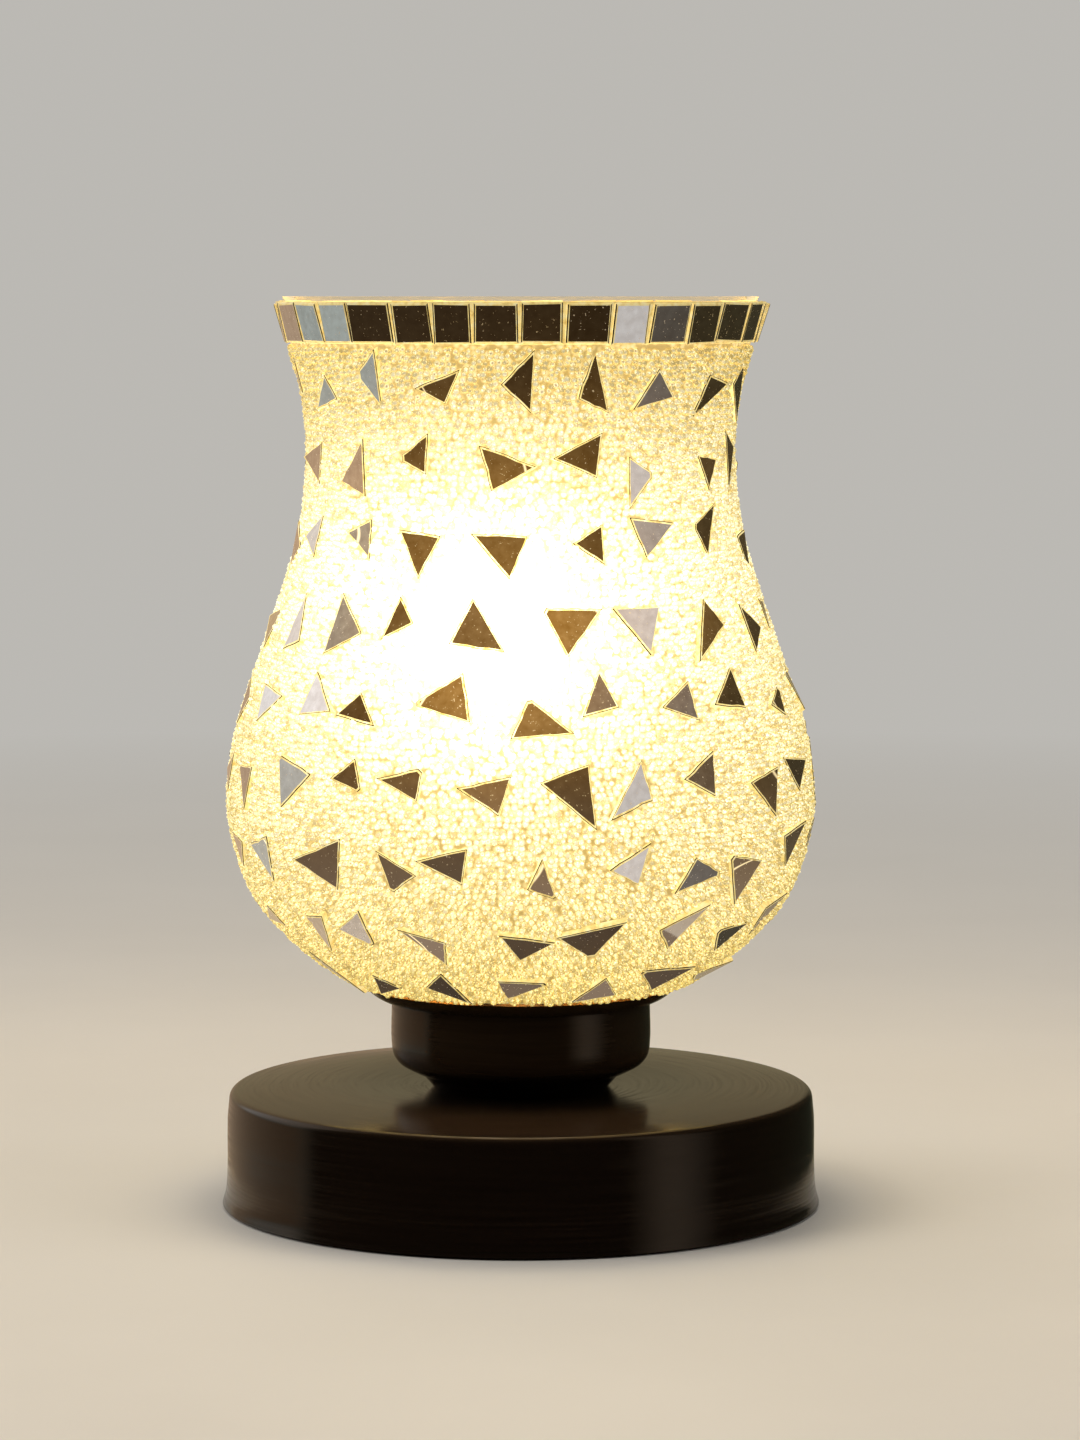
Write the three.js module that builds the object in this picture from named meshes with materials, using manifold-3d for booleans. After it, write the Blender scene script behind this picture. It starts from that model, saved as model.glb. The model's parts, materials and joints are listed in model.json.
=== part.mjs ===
// A mosaic glass table lamp: a blown glass shade coated with clear beads and mirror chips,
// clamped on a screw lamp holder that stands in a spun steel cup on a round steel base.
// Millimetres, +Z up. The origin is the centre of the felt underside, on the table.
// The front faces -Y. The cord leaves the base at the back and lies on the table behind it.

import * as THREE from "three";
import { mergeVertices } from "three/addons/utils/BufferGeometryUtils.js";
import Module from "manifold-3d";

// ---------------------------------------------------------------- driving dimensions

const FACETS = 32; // round parts wider than about 50 mm
const SMALL_FACETS = 24; // narrower round parts
const GAP = 0.3; // between a part and the neighbour it is shaped to

const FELT = { radius: 71, thickness: 1.6 };
const BOARD = { radius: 72.3, thickness: 4 };
const BASE = {
  footRadius: 75,
  footHeight: 0.6,
  shoulderRadius: 73.2,
  top: 29,
  corner: 2,
  sheet: 1,
};
const COLLAR = { lowRadius: 21.4, highRadius: 24.9, top: 33 };
const CUP = {
  radius: 32.4,
  corner: 5.6,
  cornerHeight: 39.9,
  sheet: 1,
  lipCentre: [30.9, 61.8],
  lipRadius: 10.6,
};
const ROD = { radius: 5, bore: 3.6, hole: 5.3, bottom: 22, top: 42 };
const NUT = { acrossFlats: 14, thickness: 3, bore: 5.3 };
const WASHER = { radius: 9.5, thickness: 1.5 };

const HOLDER = {
  skirtRadius: 22.5,
  barrelRadius: 20,
  wall: 2,
  bottom: 37.3,
  joint: 46,
  shoulder: 50.6,
  top: 85,
};
const CORE = { radius: 17.6, bottom: 47, top: 58, terminalX: 9 };
const THREAD = { pitch: 3.6286, depth: 0.5, capRadius: 12.95, sleeveRadius: 13.55 };

const GLASS = { wall: 3, hole: 21, bottom: 51, top: 227 };
// The outside of the glass from the edge of its flat bottom to its mouth: radius, height.
const GLASS_OUTLINE = [
  [28, 51],
  [34.5, 53.9],
  [46.9, 61.2],
  [59.8, 72.3],
  [67.2, 83.3],
  [71.4, 101.5],
  [69, 120],
  [62.9, 138.6],
  [56.5, 157.4],
  [52.6, 172.6],
  [51.3, 191.5],
  [53.3, 206.8],
  [55.8, 215],
  [59, 227],
];
const COAT = { thickness: 1.3, bottom: 57, top: 214.6 };
const TILES = { count: 33, size: 10, thickness: 1.8, radius: 59, height: 221, lean: 16, grout: 0.9 };
const RING = { bore: 20.4, radius: 26.5, washer: 1.2, height: 6 };

const BULB = { radius: 30, centre: 142, neckRadius: 11.9, wall: 0.8 };
const CAP = { bottom: 68.2, threadTop: 84, rim: 90 };

const CORD = { radius: 2.6, hole: 3.1, exitHeight: 13, onTable: 2.9 };
const SWITCH = { y: 124, length: 60, width: 24, parting: 7, height: 14, wall: 2, postX: 15.5 };
const ROCKER = { halfLength: 9.5, halfWidth: 4.7, pivotHeight: 11, onTilt: 8 };
const PLUG = { cordX: 29, y: 156, length: 38, faceWidth: 33, cordWidth: 13, height: 13 };
const PIN = { radius: 2, length: 19, spacing: 19, buried: 9 };

// ---------------------------------------------------------------- finishes

const finish = (color, roughness, metalness = 0) =>
  new THREE.MeshStandardMaterial({ color, roughness, metalness });

const BRONZE_ENAMEL = [0x1a1310, 0.35, 0.4];
const SHADE_GLASS = [0xf6efd6, 0.1];
const BEAD_GLASS = [0xf3dc95, 0.25];
const MIRROR = [0xc9ccd0, 0.05, 1];
const FROSTED_GLASS = [0xfff4d8, 0.5];
const CLEAR_GLASS = [0xeef2f2, 0.1];
const NICKEL = [0xb9b6ae, 0.3, 1];
const BRASS = [0xc79a4b, 0.3, 1];
const STEEL = [0x9fa1a3, 0.35, 1];
const TUNGSTEN = [0x6b6b6e, 0.4, 1];
const BLACK_PLASTIC = [0x151515, 0.45];
const PORCELAIN = [0xe9e6df, 0.3];
const RUBBER = [0x111111, 0.8];
const FIBRE = [0x7a2f22, 0.8];
const CORD_SHEATH = [0x141414, 0.55];
const FELT_CLOTH = [0x2a2320, 0.95];
const FIBREBOARD = [0x8a6a45, 0.85];
const BROWN_WIRE = [0x5a3219, 0.5];
const BLUE_WIRE = [0x1f4f9c, 0.5];

// ---------------------------------------------------------------- shaping tools

const wasm = await Module();
wasm.setup();

// A closed geometry as a manifold-3d solid, without the slivers a lathe leaves on its axis.
function solidOf(geometry) {
  const bare = geometry.clone();
  bare.deleteAttribute("normal");
  bare.deleteAttribute("uv");
  const merged = mergeVertices(bare, 1e-4);
  const corners = Array.from(merged.index.array);
  const triangles = [];
  for (let i = 0; i < corners.length; i += 3) {
    const triangle = corners.slice(i, i + 3);
    if (new Set(triangle).size === 3) triangles.push(...triangle);
  }
  return new wasm.Manifold(
    new wasm.Mesh({
      numProp: 3,
      vertProperties: merged.attributes.position.array,
      triVerts: new Uint32Array(triangles),
    }),
  );
}

function geometryOf(solid) {
  const mesh = solid.getMesh();
  const geometry = new THREE.BufferGeometry();
  geometry.setAttribute("position", new THREE.BufferAttribute(mesh.vertProperties, 3));
  geometry.setIndex(new THREE.BufferAttribute(mesh.triVerts, 1));
  geometry.computeVertexNormals();
  return geometry;
}

function cut(geometry, ...cutters) {
  return geometryOf(cutters.reduce((left, c) => left.subtract(solidOf(c)), solidOf(geometry)));
}

function join(geometry, ...others) {
  return geometryOf(others.reduce((sum, other) => sum.add(solidOf(other)), solidOf(geometry)));
}

// A profile of [radius, height] points turned about Z. It runs counter-clockwise, with radius
// to the right and height up, and starts and ends on the axis.
function turned(profile, facets = FACETS) {
  const points = profile.map(([radius, height]) => new THREE.Vector2(radius, height));
  return new THREE.LatheGeometry(points, facets).rotateX(Math.PI / 2);
}

// The same for a profile that stays off the axis and closes on itself.
const turnedRing = (profile, facets = FACETS) => turned([...profile, profile[0]], facets);

// Profile points on a circular arc, at angles in degrees from the radius direction.
function arc([centreRadius, centreHeight], radius, from, to, steps = 3) {
  return Array.from({ length: steps + 1 }, (_, i) => {
    const angle = THREE.MathUtils.degToRad(from + ((to - from) * i) / steps);
    return [centreRadius + radius * Math.cos(angle), centreHeight + radius * Math.sin(angle)];
  });
}

// A smooth curve through profile points, sampled at even steps.
function smooth(points, steps) {
  const curve = new THREE.SplineCurve(points.map(([r, z]) => new THREE.Vector2(r, z)));
  return curve.getSpacedPoints(steps).map((p) => [p.x, p.y]);
}

// The profile moved sideways, to the right of its own direction.
function offset(profile, distance) {
  return profile.map(([r, z], i) => {
    const [r0, z0] = profile[Math.max(i - 1, 0)];
    const [r1, z1] = profile[Math.min(i + 1, profile.length - 1)];
    const share = distance / Math.hypot(r1 - r0, z1 - z0);
    return [r + (z1 - z0) * share, z - (r1 - r0) * share];
  });
}

// A plain tube between two heights; an inner radius of 0 makes a solid disc.
function tube(inner, outer, bottom, top, facets = SMALL_FACETS) {
  const wall = [
    [inner, bottom],
    [outer, bottom],
    [outer, top],
    [inner, top],
  ];
  return inner > 0 ? turnedRing(wall, facets) : turned(wall, facets);
}

// A round bar lying along +X or +Y, between two positions on that axis.
function bar(axis, radius, from, to, facets = 12) {
  const upright = tube(0, radius, from, to, facets);
  return axis === "x" ? upright.rotateY(Math.PI / 2) : upright.rotateX(-Math.PI / 2);
}

// An outline in X and Z, given as a THREE.Shape, made `width` thick about the plane of y.
function plateAcross(outline, width, y = 0) {
  const options = { depth: width, bevelEnabled: false, curveSegments: 6 };
  const plate = new THREE.ExtrudeGeometry(outline, options).rotateX(Math.PI / 2);
  return plate.translate(0, y + width / 2, 0);
}

// A flat plate with rounded corners, between two heights.
function roundedPlate(length, width, corner, bottom, top) {
  const [x, y] = [length / 2 - corner, width / 2 - corner];
  const outline = new THREE.Shape()
    .absarc(x, y, corner, 0, Math.PI / 2)
    .absarc(-x, y, corner, Math.PI / 2, Math.PI)
    .absarc(-x, -y, corner, Math.PI, 1.5 * Math.PI)
    .absarc(x, -y, corner, 1.5 * Math.PI, 2 * Math.PI);
  const options = { depth: top - bottom, bevelEnabled: false, curveSegments: 4 };
  return new THREE.ExtrudeGeometry(outline, options).translate(0, 0, bottom);
}

function box(sizeX, sizeY, bottom, top, x = 0, y = 0) {
  const block = new THREE.BoxGeometry(sizeX, sizeY, top - bottom);
  return block.translate(x, y, (bottom + top) / 2);
}

function regularOutline(sides, radius) {
  return Array.from({ length: sides }, (_, i) => {
    const angle = (2 * Math.PI * i) / sides;
    return new THREE.Vector2(radius * Math.cos(angle), radius * Math.sin(angle));
  });
}

// A round cord or wire along a smooth path.
function swept(points, radius, steps, facets = 8) {
  const path = new THREE.CatmullRomCurve3(points.map((p) => new THREE.Vector3(...p)));
  const section = new THREE.Shape(regularOutline(facets, radius));
  return new THREE.ExtrudeGeometry(section, { steps, extrudePath: path });
}

// Presses the right-hand cap thread into the wall of a turned part that stands at one radius.
function threaded(geometry, wallRadius) {
  const at = geometry.attributes.position;
  for (let i = 0; i < at.count; i++) {
    const [x, y, z] = [at.getX(i), at.getY(i), at.getZ(i)];
    if (Math.abs(Math.hypot(x, y) - wallRadius) > 0.01) continue;
    const phase = (2 * Math.PI * z) / THREAD.pitch - Math.atan2(y, x);
    const scale = 1 + (THREAD.depth * Math.cos(phase)) / wallRadius;
    at.setXY(i, x * scale, y * scale);
  }
  return geometry;
}

// A straight wall with rows close enough together to carry that thread.
function threadRows(radius, from, to) {
  const rowsPerTurn = 5;
  const rows = Math.round((Math.abs(to - from) / THREAD.pitch) * rowsPerTurn);
  return Array.from({ length: rows + 1 }, (_, i) => [radius, from + ((to - from) * i) / rows]);
}

function part(name, geometry, material) {
  const mesh = new THREE.Mesh(geometry, finish(...material));
  mesh.name = name;
  return mesh;
}

function assembly(name, ...members) {
  const group = new THREE.Group();
  group.name = name;
  group.add(...members);
  return group;
}

// ---------------------------------------------------------------- base and cup

function feltPad() {
  return part("felt_pad", tube(0, FELT.radius, 0, FELT.thickness, FACETS), FELT_CLOTH);
}

function baseBoard() {
  const top = FELT.thickness + BOARD.thickness;
  return part("base_board", tube(0, BOARD.radius, FELT.thickness, top, FACETS), FIBREBOARD);
}

// One face of the base wall, from its flared foot to its rounded shoulder.
function baseWall(inset) {
  const centre = [BASE.shoulderRadius - BASE.corner, BASE.top - BASE.corner];
  return [
    [BASE.footRadius - inset, BASE.footHeight],
    [BASE.footRadius - 0.8 - inset, 3.5],
    [BASE.footRadius - 1.2 - inset, 8],
    ...arc(centre, BASE.corner - inset, 0, 90),
  ];
}

function baseShell() {
  const shell = turnedRing([
    ...baseWall(0),
    [ROD.hole, BASE.top],
    [ROD.hole, BASE.top - BASE.sheet],
    ...baseWall(BASE.sheet).reverse(),
  ]);
  const cordHole = bar("y", 5, 60, 90, SMALL_FACETS).translate(0, 0, CORD.exitHeight);
  return part("base_shell", cut(shell, cordHole), BRONZE_ENAMEL);
}

// A rubber bush snapped into the hole at the back of the base: two flanges and a waist.
function cordGrommet() {
  const [flange, waist] = [7, 4.7];
  const bush = turnedRing(
    [
      [CORD.hole, 70],
      [flange, 70],
      [flange, 71.5],
      [waist, 71.5],
      [waist, 74.2],
      [flange - 0.6, 74.2],
      [flange - 1.4, 75.8],
      [CORD.hole, 75.8],
    ],
    16,
  );
  bush.rotateX(-Math.PI / 2).translate(0, 0, CORD.exitHeight);
  return part("cord_grommet", bush, RUBBER);
}

function neckCollar() {
  const collar = turnedRing([
    [ROD.hole, BASE.top],
    [COLLAR.lowRadius, BASE.top],
    [COLLAR.highRadius, COLLAR.top],
    [ROD.hole, COLLAR.top],
  ]);
  return part("neck_collar", collar, BRONZE_ENAMEL);
}

// A spun cup with a rounded corner and a shallow saucer lip that the glass rests in.
function shadeCup() {
  const corner = [CUP.radius - CUP.corner, CUP.cornerHeight];
  const { sheet } = CUP;
  const cup = turnedRing([
    [ROD.hole, COLLAR.top],
    [COLLAR.highRadius, COLLAR.top],
    ...arc(corner, CUP.corner, -70, 0),
    ...arc(CUP.lipCentre, CUP.lipRadius, -82, -38),
    ...arc(CUP.lipCentre, CUP.lipRadius - sheet, -38, -82),
    ...arc(corner, CUP.corner - sheet, 0, -70),
    [COLLAR.highRadius, COLLAR.top + sheet],
    [ROD.hole, COLLAR.top + sheet],
  ]);
  return part("shade_cup", cup, BRONZE_ENAMEL);
}

function hexNut(bottom) {
  const outline = new THREE.Shape(regularOutline(6, NUT.acrossFlats / Math.sqrt(3)));
  outline.holes.push(new THREE.Path().absarc(0, 0, NUT.bore, 0, 2 * Math.PI, true));
  const options = { depth: NUT.thickness, bevelEnabled: false, curveSegments: 8 };
  return new THREE.ExtrudeGeometry(outline, options).translate(0, 0, bottom);
}

// A hollow rod carries the cord and holds base, collar and cup together with two nuts.
function rodAndNuts() {
  const underBase = BASE.top - BASE.sheet;
  const washerBottom = underBase - WASHER.thickness;
  return assembly(
    "rod_and_nuts",
    part("threaded_rod", tube(ROD.bore, ROD.radius, ROD.bottom, ROD.top), STEEL),
    part("lower_washer", tube(ROD.hole, WASHER.radius, washerBottom, underBase), STEEL),
    part("lower_nut", hexNut(washerBottom - NUT.thickness), STEEL),
    part("upper_nut", hexNut(COLLAR.top + CUP.sheet), STEEL),
  );
}

// ---------------------------------------------------------------- lamp holder

function holderCap() {
  const { skirtRadius, wall, bottom, joint } = HOLDER;
  const corner = 6;
  const centre = [skirtRadius - corner, bottom + corner];
  const bore = ROD.radius + GAP;
  const cap = turnedRing(
    [
      [bore, bottom],
      ...arc(centre, corner, -90, 0),
      [skirtRadius, joint],
      [skirtRadius - wall, joint],
      ...arc(centre, corner - wall, 0, -90),
      [bore, bottom + wall],
    ],
    SMALL_FACETS,
  );
  return part("holder_cap", cap, BLACK_PLASTIC);
}

// A wide skirt below the shade, and a barrel above it for the ring that clamps the shade.
function holderShell() {
  const { skirtRadius, barrelRadius, wall, joint, shoulder, top } = HOLDER;
  const [mouth, lip] = [15, 2];
  const shell = turnedRing(
    [
      [barrelRadius - wall, joint],
      [skirtRadius, joint],
      [skirtRadius, shoulder],
      [barrelRadius, shoulder],
      [barrelRadius, top - 1],
      [barrelRadius - 1, top],
      [mouth, top],
      [mouth, top - lip],
      [barrelRadius - wall, top - lip],
    ],
    SMALL_FACETS,
  );
  return part("holder_shell", shell, BLACK_PLASTIC);
}

// The insulating core carries the terminals under it and the contacts on top.
function holderCore() {
  const { radius, bottom, top, terminalX } = CORE;
  const holes = [-terminalX, terminalX].map((x) =>
    tube(0, 1.7, bottom - 1, top + 1, 12).translate(x, 0, 0),
  );
  return part("holder_core", cut(tube(0, radius, bottom, top), ...holes), PORCELAIN);
}

function screwSleeve() {
  const [bottom, top, outer] = [63, 80, 14.7];
  const sleeve = turnedRing(
    [[outer, bottom], [outer, top], ...threadRows(THREAD.sleeveRadius, top, bottom)],
    SMALL_FACETS,
  );
  return part("screw_sleeve", threaded(sleeve, THREAD.sleeveRadius), NICKEL);
}

// A sprung leaf, bowed up from its terminal to press on the bulb's tip.
function centreContact() {
  const x = CORE.terminalX;
  const z = CORE.top + 0.2;
  const leaf = new THREE.Shape()
    .moveTo(x + 3, z)
    .lineTo(x + 3, z + 0.7)
    .lineTo(x - 3, z + 0.7)
    .quadraticCurveTo(1, z + 6.9, -5, z + 1.7)
    .lineTo(-4.6, z + 1)
    .quadraticCurveTo(1, z + 5.4, x - 3, z);
  return part("centre_contact", plateAcross(leaf, 5), BRASS);
}

// The other terminal's strip stands up under the edge of the screw sleeve.
function neutralContact() {
  const z = CORE.top + 0.2;
  const foot = box(9, 5, z, z + 0.8, -CORE.terminalX - 2);
  const tab = box(1, 5, z, z + 4.4, -CORE.terminalX - 5);
  return part("neutral_contact", join(foot, tab), BRASS);
}

function terminalScrew(name, x) {
  const { bottom, top } = CORE;
  const screw = turned(
    [
      [0, bottom - 1.8],
      [2.7, bottom - 1.8],
      [2.7, bottom - 0.2],
      [1.4, bottom - 0.2],
      [1.4, top],
      [0, top],
    ],
    12,
  );
  return part(name, screw.translate(x, 0, 0), BRASS);
}

// The cord's cores part above the rod and run to the terminals.
function coreWire(name, side, material) {
  const path = [
    [side * 1.3, 0, ROD.top + 0.5],
    [side * 1.7, 0, ROD.top + 1.8],
    [side * 3.8, 0, ROD.top + 3.2],
    [side * 5.8, 0, ROD.top + 3.7],
  ];
  return part(name, swept(path, 0.9, 6, 6), material);
}

function lampHolder() {
  return assembly(
    "lamp_holder",
    holderCap(),
    holderShell(),
    holderCore(),
    screwSleeve(),
    centreContact(),
    neutralContact(),
    terminalScrew("live_terminal_screw", CORE.terminalX),
    terminalScrew("neutral_terminal_screw", -CORE.terminalX),
    coreWire("live_wire", 1, BROWN_WIRE),
    coreWire("neutral_wire", -1, BLUE_WIRE),
  );
}

// A washer and a ring that screws down the barrel clamp the flat bottom of the glass.
function clampingRing() {
  const { bore, radius, washer, height } = RING;
  const floor = GLASS.bottom + GLASS.wall + GAP;
  const bottom = floor + washer + 0.2;
  const ring = turnedRing(
    [
      [bore, bottom],
      [radius, bottom],
      [radius, bottom + 2],
      [radius - 3, bottom + 2.6],
      [radius - 3.5, bottom + height],
      [bore, bottom + height],
    ],
    SMALL_FACETS,
  );
  return assembly(
    "clamping_ring",
    part("ring_washer", tube(bore, radius, floor, floor + washer), FIBRE),
    part("shade_ring", ring, BLACK_PLASTIC),
  );
}

// ---------------------------------------------------------------- shade

const glassWall = smooth(GLASS_OUTLINE, 17);

// The point of the outer glass at a given height.
function glassAt(height) {
  const above = glassWall.findIndex(([, z]) => z > height);
  const [[r0, z0], [r1, z1]] = [glassWall[above - 1], glassWall[above]];
  return [r0 + ((r1 - r0) * (height - z0)) / (z1 - z0), height];
}

// A layer that lies over the outer glass between two heights.
function overGlass(bottom, top, thickness) {
  const between = glassWall.filter(([, z]) => z > bottom + 1 && z < top - 1);
  const rows = [glassAt(bottom), ...between, glassAt(top)];
  return turnedRing([...offset(rows, GAP + thickness), ...offset(rows, GAP).reverse()]);
}

// A blown vase with a hole in its flat bottom and a ground mouth.
function glassShade() {
  const inside = offset(glassWall, -GLASS.wall).map(([r, z]) => [r, Math.min(z, GLASS.top)]);
  const shade = turnedRing([
    [GLASS.hole, GLASS.bottom],
    ...glassWall,
    ...inside.reverse(),
    [GLASS.hole, GLASS.bottom + GLASS.wall],
  ]);
  return part("glass_shade", shade, SHADE_GLASS);
}

// The layer of clear beads and mirror chips glued to the outside of the glass.
function mosaicCoat() {
  return part("mosaic_coat", overGlass(COAT.bottom, COAT.top, COAT.thickness), BEAD_GLASS);
}

// Flat mirror tiles stand side by side below the mouth, bedded in one ring of grout.
function rimTileBand() {
  const { count, size, thickness, radius, height, lean, grout } = TILES;
  const tile = new THREE.BoxGeometry(thickness, size, size)
    .rotateY(THREE.MathUtils.degToRad(lean))
    .translate(radius, 0, height);
  const tiles = Array.from({ length: count }, (_, i) =>
    tile.clone().rotateZ((2 * Math.PI * (i + 0.5)) / count),
  );
  const bedding = overGlass(height - size / 2, height + size / 2, grout);
  return part("rim_tile_band", join(bedding, ...tiles), MIRROR);
}

// ---------------------------------------------------------------- bulb

function bulbTip() {
  const tip = turned(
    [
      [0, 62.7],
      [3.4, 62.9],
      [4.8, 63.9],
      [4.8, 64.5],
      [0, 64.5],
    ],
    16,
  );
  return part("bulb_tip", tip, NICKEL);
}

function bulbInsulator() {
  const cone = turned(
    [
      [0, 64.7],
      [5.2, 64.7],
      [11.2, 67.4],
      [11.2, 68],
      [0, 68],
    ],
    SMALL_FACETS,
  );
  return part("bulb_insulator", cone, BLACK_PLASTIC);
}

function bulbCap() {
  const inner = BULB.neckRadius + GAP;
  const cap = turnedRing(
    [
      [inner, CAP.bottom],
      ...threadRows(THREAD.capRadius, CAP.bottom, CAP.threadTop),
      [13.2, CAP.threadTop + 2],
      [13.9, CAP.rim],
      [inner, CAP.rim],
    ],
    SMALL_FACETS,
  );
  return part("bulb_cap", threaded(cap, THREAD.capRadius), NICKEL);
}

// A pear-shaped envelope, open at the neck, where the stem closes it.
function bulbGlass() {
  const { radius, centre, neckRadius, wall } = BULB;
  const neck = [
    [neckRadius, CAP.rim],
    [14.2, 97],
    [19.6, 108],
    [25.2, 121],
  ];
  const outside = [
    [neckRadius, CAP.threadTop],
    ...smooth(neck, 4),
    ...arc([0, centre], radius, -18, 90, 7),
  ];
  const inside = offset(outside, -wall);
  inside[inside.length - 1] = [0, centre + radius - wall];
  const envelope = turned([...inside.reverse(), ...outside], 20);
  return part("bulb_glass", envelope, FROSTED_GLASS);
}

const STEM_TOP = 118;

function bulbStem() {
  const stem = turned(
    [
      [0, 85],
      [10.6, 85],
      [10.6, 86],
      [4, 96],
      [2.6, STEM_TOP],
      [0, STEM_TOP],
    ],
    16,
  );
  return part("bulb_stem", stem, CLEAR_GLASS);
}

function filamentWire(name, side) {
  const path = [
    [side * 1.4, 0, STEM_TOP + 0.2],
    [side * 3, 0, 126],
    [side * 9, 0, 140.5],
  ];
  return part(name, swept(path, 0.5, 6, 6), STEEL);
}

function filament() {
  const path = [
    [-9, 0, 141.6],
    [-5, 4, 144],
    [0, 5, 145],
    [5, 4, 144],
    [9, 0, 141.6],
  ];
  return part("filament", swept(path, 0.7, 12, 6), TUNGSTEN);
}

function bulb() {
  return assembly(
    "bulb",
    bulbTip(),
    bulbInsulator(),
    bulbCap(),
    bulbGlass(),
    bulbStem(),
    filamentWire("filament_wire_left", -1),
    filamentWire("filament_wire_right", 1),
    filament(),
  );
}

// ---------------------------------------------------------------- cord

// Down through the rod, out of the back of the base, and round into the left of the switch.
function lampCord() {
  const path = [
    [0, 0, ROD.top],
    [0, 0, 32],
    [0, 0.2, 23],
    [0, 4, 15.5],
    [0, 13, CORD.exitHeight],
    [0, 40, CORD.exitHeight],
    [0, 66, CORD.exitHeight],
    [0, 79, CORD.exitHeight],
    [-4, 88, 8.5],
    [-16, 94.5, 3.6],
    [-32, 97.5, CORD.onTable],
    [-45, 103, CORD.onTable],
    [-50, 113, 4],
    [-45, 121.5, 6],
    [-34, SWITCH.y, SWITCH.parting],
    [-22, SWITCH.y, SWITCH.parting],
  ];
  return part("lamp_cord", swept(path, CORD.radius, 46), CORD_SHEATH);
}

// From the right of the switch and round into the plug.
function plugCord() {
  const plugAxis = PLUG.height / 2;
  const path = [
    [22, SWITCH.y, SWITCH.parting],
    [34, SWITCH.y, SWITCH.parting],
    [46, 128.5, 5],
    [51.5, 140, CORD.onTable],
    [48, 151, 4.5],
    [37.5, PLUG.y, plugAxis],
    [PLUG.cordX - 7, PLUG.y, plugAxis],
  ];
  return part("plug_cord", swept(path, CORD.radius, 22), CORD_SHEATH);
}

// ---------------------------------------------------------------- in-line switch

// A tunnel for the cord along the parting line of the two shells.
function cordTunnel() {
  const reach = SWITCH.length / 2 + 1;
  return bar("x", CORD.hole, -reach, reach, 16).translate(0, 0, SWITCH.parting);
}

function switchBase() {
  const { length, width, parting, wall, postX } = SWITCH;
  const top = parting - GAP / 2;
  const tray = cut(
    roundedPlate(length, width, 6, 0, top),
    roundedPlate(length - 2 * wall, width - 2 * wall, 6 - wall, wall, top + 1),
    cordTunnel(),
  );
  const posts = [-postX, postX].map((x) => tube(0, 3.8, 1, top, 16).translate(x, 0, 0));
  const screwHoles = [-postX, postX].flatMap((x) => [
    tube(0, 1.4, -1, top + 1, 12).translate(x, 0, 0),
    tube(0, 2.5, -1, 2.2, 12).translate(x, 0, 0),
  ]);
  return part("switch_base", cut(join(tray, ...posts), ...screwHoles), BLACK_PLASTIC);
}

function switchCover() {
  const { length, width, parting, height, wall, postX } = SWITCH;
  const bottom = parting + GAP / 2;
  const slotLength = 2 * ROCKER.halfLength + 1.8;
  const slotWidth = 2 * ROCKER.halfWidth + 0.6;
  const hood = cut(
    roundedPlate(length, width, 6, bottom, height),
    roundedPlate(length - 2 * wall, width - 2 * wall, 6 - wall, bottom - 1, height - wall),
    box(slotLength, slotWidth, parting, height + 1),
    cordTunnel(),
  );
  const cheekY = slotWidth / 2 + 1;
  const cheeks = [-cheekY, cheekY].map((y) => box(6, 2, 8.8, height - 1, 0, y));
  const posts = [-postX, postX].map((x) => tube(0, 2.6, bottom, height - 1, 12).translate(x, 0, 0));
  const holes = [-postX, postX].map((x) => tube(0, 1.3, 0, 12, 12).translate(x, 0, 0));
  const pinHole = bar("y", 1.2, -9, 9).translate(0, 0, ROCKER.pivotHeight);
  return part("switch_cover", cut(join(hood, ...cheeks, ...posts), ...holes, pinHole), BLACK_PLASTIC);
}

// A shallow V on top, a bore for its pin, resting tipped to the "on" side.
function switchRocker() {
  const reach = ROCKER.halfLength;
  const outline = new THREE.Shape()
    .moveTo(-reach, -1.8)
    .lineTo(reach, -1.8)
    .lineTo(reach, 4.4)
    .lineTo(0, 3.1)
    .lineTo(-reach, 4.4);
  const bore = bar("y", 1.3, -9, 9);
  const rocker = cut(plateAcross(outline, 2 * ROCKER.halfWidth), bore);
  rocker.rotateY(THREE.MathUtils.degToRad(ROCKER.onTilt));
  return part("switch_rocker", rocker.translate(0, 0, ROCKER.pivotHeight), BLACK_PLASTIC);
}

function rockerPin() {
  const pin = bar("y", 1, -6.8, 6.8).translate(0, 0, ROCKER.pivotHeight);
  return part("rocker_pin", pin, STEEL);
}

function switchScrew(name, x) {
  const screw = turned(
    [
      [0, 0.5],
      [2.2, 0.5],
      [2.2, 2],
      [1, 2],
      [1, 11.5],
      [0, 11.5],
    ],
    12,
  );
  return part(name, screw.translate(x, 0, 0), STEEL);
}

const CONTACT_Y = -6;

function fixedContact() {
  const outline = new THREE.Shape()
    .moveTo(1, 2.2)
    .lineTo(11.4, 2.2)
    .lineTo(11.4, 2.9)
    .lineTo(3.4, 2.9)
    .lineTo(3.4, 4.6)
    .lineTo(1, 4.6);
  return part("fixed_contact", plateAcross(outline, 4, CONTACT_Y), BRASS);
}

// A leaf that the rocker presses onto the fixed contact.
function springContact() {
  const outline = new THREE.Shape()
    .moveTo(-11.4, 2.2)
    .lineTo(-8, 2.2)
    .lineTo(3, 5.6)
    .lineTo(3, 6.3)
    .lineTo(-8.2, 2.9)
    .lineTo(-11.4, 2.9);
  return part("spring_contact", plateAcross(outline, 4, CONTACT_Y), BRASS);
}

function liveLead(name, side) {
  const path = [
    [side * 21.2, -1.1, SWITCH.parting],
    [side * 19, -4.8, 6],
    [side * 15, -6.2, 4.4],
    [side * 10.5, CONTACT_Y, 3.9],
  ];
  return part(name, swept(path, 0.8, 8, 6), BROWN_WIRE);
}

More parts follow.
